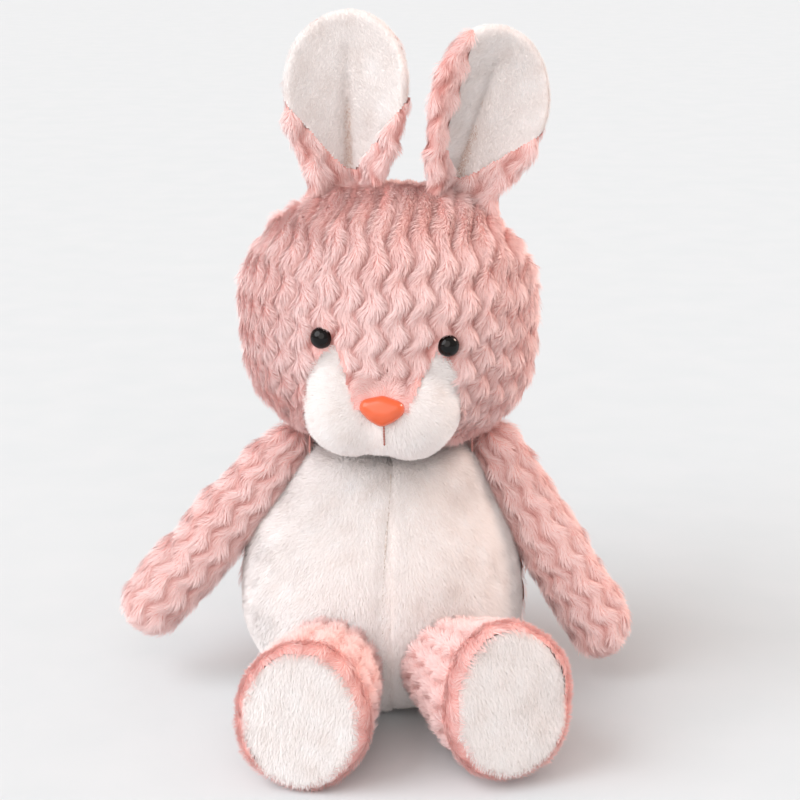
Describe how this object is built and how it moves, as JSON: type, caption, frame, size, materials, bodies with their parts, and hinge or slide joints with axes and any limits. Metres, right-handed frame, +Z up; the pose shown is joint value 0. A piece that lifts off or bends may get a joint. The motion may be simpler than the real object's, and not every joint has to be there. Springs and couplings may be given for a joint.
{
  "type": "stuffed bunny rabbit",
  "caption": "Sitting plush rabbit with a pear-shaped body, round head, upright ears and soft arms and legs that bend at their seams.",
  "frame": {"origin": "middle of the flat seat panel, on the surface that the rabbit sits on", "axes": "+Z up through the head, -Y towards the rabbit's front, +X towards the rabbit's own left"},
  "size_m": [0.2169, 0.1992, 0.2877],
  "materials": {
    "pink_plush": "carved long-pile plush in wavy rows",
    "white_plush": "short dense white plush",
    "seat_cloth": "short pink plush",
    "thread": "sewing thread",
    "fibre": "loose polyester fibre",
    "bag_cloth": "plain woven cotton",
    "pellets": "small round pellets",
    "washer": "moulded locking washer",
    "eye": "polished black",
    "nose": "polished orange"
  },
  "bodies": {
    "torso": {"belly_panel_left": "white_plush", "belly_panel_right": "white_plush", "back_panel": "pink_plush", "seat_panel": "seat_cloth", "belly_seam": "thread", "body_filling": "fibre", "pellet_bag": "bag_cloth", "pellets": "pellets", "tail_cover": "white_plush", "tail_filling": "fibre"},
    "neck": {"neck_seam": "thread"},
    "head": {"head_cover": "pink_plush", "muzzle_cover": "white_plush", "head_filling": "fibre", "eye_left": "eye", "eye_right": "eye", "eye_washer_left": "washer", "eye_washer_right": "washer", "nose": "nose", "nose_washer": "washer", "mouth_stitch": "thread"},
    "ear_left": {"ear_left_back": "pink_plush", "ear_left_lining": "white_plush"},
    "ear_right": {"ear_right_back": "pink_plush", "ear_right_lining": "white_plush"},
    "shoulder_left": {"arm_left_seam": "thread"},
    "arm_left": {"arm_left_cover": "pink_plush", "arm_left_filling": "fibre"},
    "hip_left": {"leg_left_seam": "thread"},
    "leg_left": {"leg_left_cover": "pink_plush", "leg_left_sole": "white_plush", "leg_left_filling": "fibre"},
    "shoulder_right": {"arm_right_seam": "thread"},
    "arm_right": {"arm_right_cover": "pink_plush", "arm_right_filling": "fibre"},
    "hip_right": {"leg_right_seam": "thread"},
    "leg_right": {"leg_right_cover": "pink_plush", "leg_right_sole": "white_plush", "leg_right_filling": "fibre"}
  },
  "joints": [
    {"name": "neck_turn", "type": "hinge", "parent": "torso", "child": "neck", "pos_m": [0, 0, 0.092], "axis": [0, 0, 1], "range_deg": [-45, 45], "stiffness_Nm_per_rad": 0.3},
    {"name": "head_nod", "type": "hinge", "parent": "neck", "child": "head", "pos_m": [0, 0, 0.092], "axis": [1, 0, 0], "range_deg": [-5, 5], "stiffness_Nm_per_rad": 0.9},
    {"name": "ear_left_fold", "type": "hinge", "parent": "head", "child": "ear_left", "pos_m": [0.02703, 0.00259, 0.2148], "axis": [0.955, -0.05, -0.2924], "range_deg": [-40, 40], "stiffness_Nm_per_rad": 0.03},
    {"name": "ear_right_fold", "type": "hinge", "parent": "head", "child": "ear_right", "pos_m": [-0.0168, 0.00489, 0.21824], "axis": [0.9986, -0.0523, 0], "range_deg": [-40, 40], "stiffness_Nm_per_rad": 0.03},
    {"name": "arm_left_swing", "type": "hinge", "parent": "torso", "child": "shoulder_left", "pos_m": [0.0435, 0, 0.102], "axis": [-1, 0, 0], "range_deg": [-35, 75], "stiffness_Nm_per_rad": 0.06},
    {"name": "arm_left_raise", "type": "hinge", "parent": "shoulder_left", "child": "arm_left", "pos_m": [0.0435, 0, 0.102], "axis": [0, -1, 0], "range_deg": [0, 58], "stiffness_Nm_per_rad": 0.06},
    {"name": "arm_right_swing", "type": "hinge", "parent": "torso", "child": "shoulder_right", "pos_m": [-0.0435, 0, 0.102], "axis": [-1, 0, 0], "range_deg": [-35, 75], "stiffness_Nm_per_rad": 0.06},
    {"name": "arm_right_raise", "type": "hinge", "parent": "shoulder_right", "child": "arm_right", "pos_m": [-0.0435, 0, 0.102], "axis": [0, 1, 0], "range_deg": [-9, 50], "stiffness_Nm_per_rad": 0.06},
    {"name": "leg_left_spread", "type": "hinge", "parent": "torso", "child": "hip_left", "pos_m": [0.023, -0.0485, 0.025], "axis": [0, 0, 1], "range_deg": [-8, 12], "stiffness_Nm_per_rad": 0.15},
    {"name": "leg_left_raise", "type": "hinge", "parent": "hip_left", "child": "leg_left", "pos_m": [0.023, -0.0485, 0.025], "axis": [-0.9397, -0.342, 0], "range_deg": [0, 14], "stiffness_Nm_per_rad": 0.15},
    {"name": "leg_right_spread", "type": "hinge", "parent": "torso", "child": "hip_right", "pos_m": [-0.023, -0.0485, 0.025], "axis": [0, 0, -1], "range_deg": [-4, 12], "stiffness_Nm_per_rad": 0.15},
    {"name": "leg_right_raise", "type": "hinge", "parent": "hip_right", "child": "leg_right", "pos_m": [-0.023, -0.0485, 0.025], "axis": [-0.9877, 0.1564, 0], "range_deg": [0, 14], "stiffness_Nm_per_rad": 0.15}
  ]
}
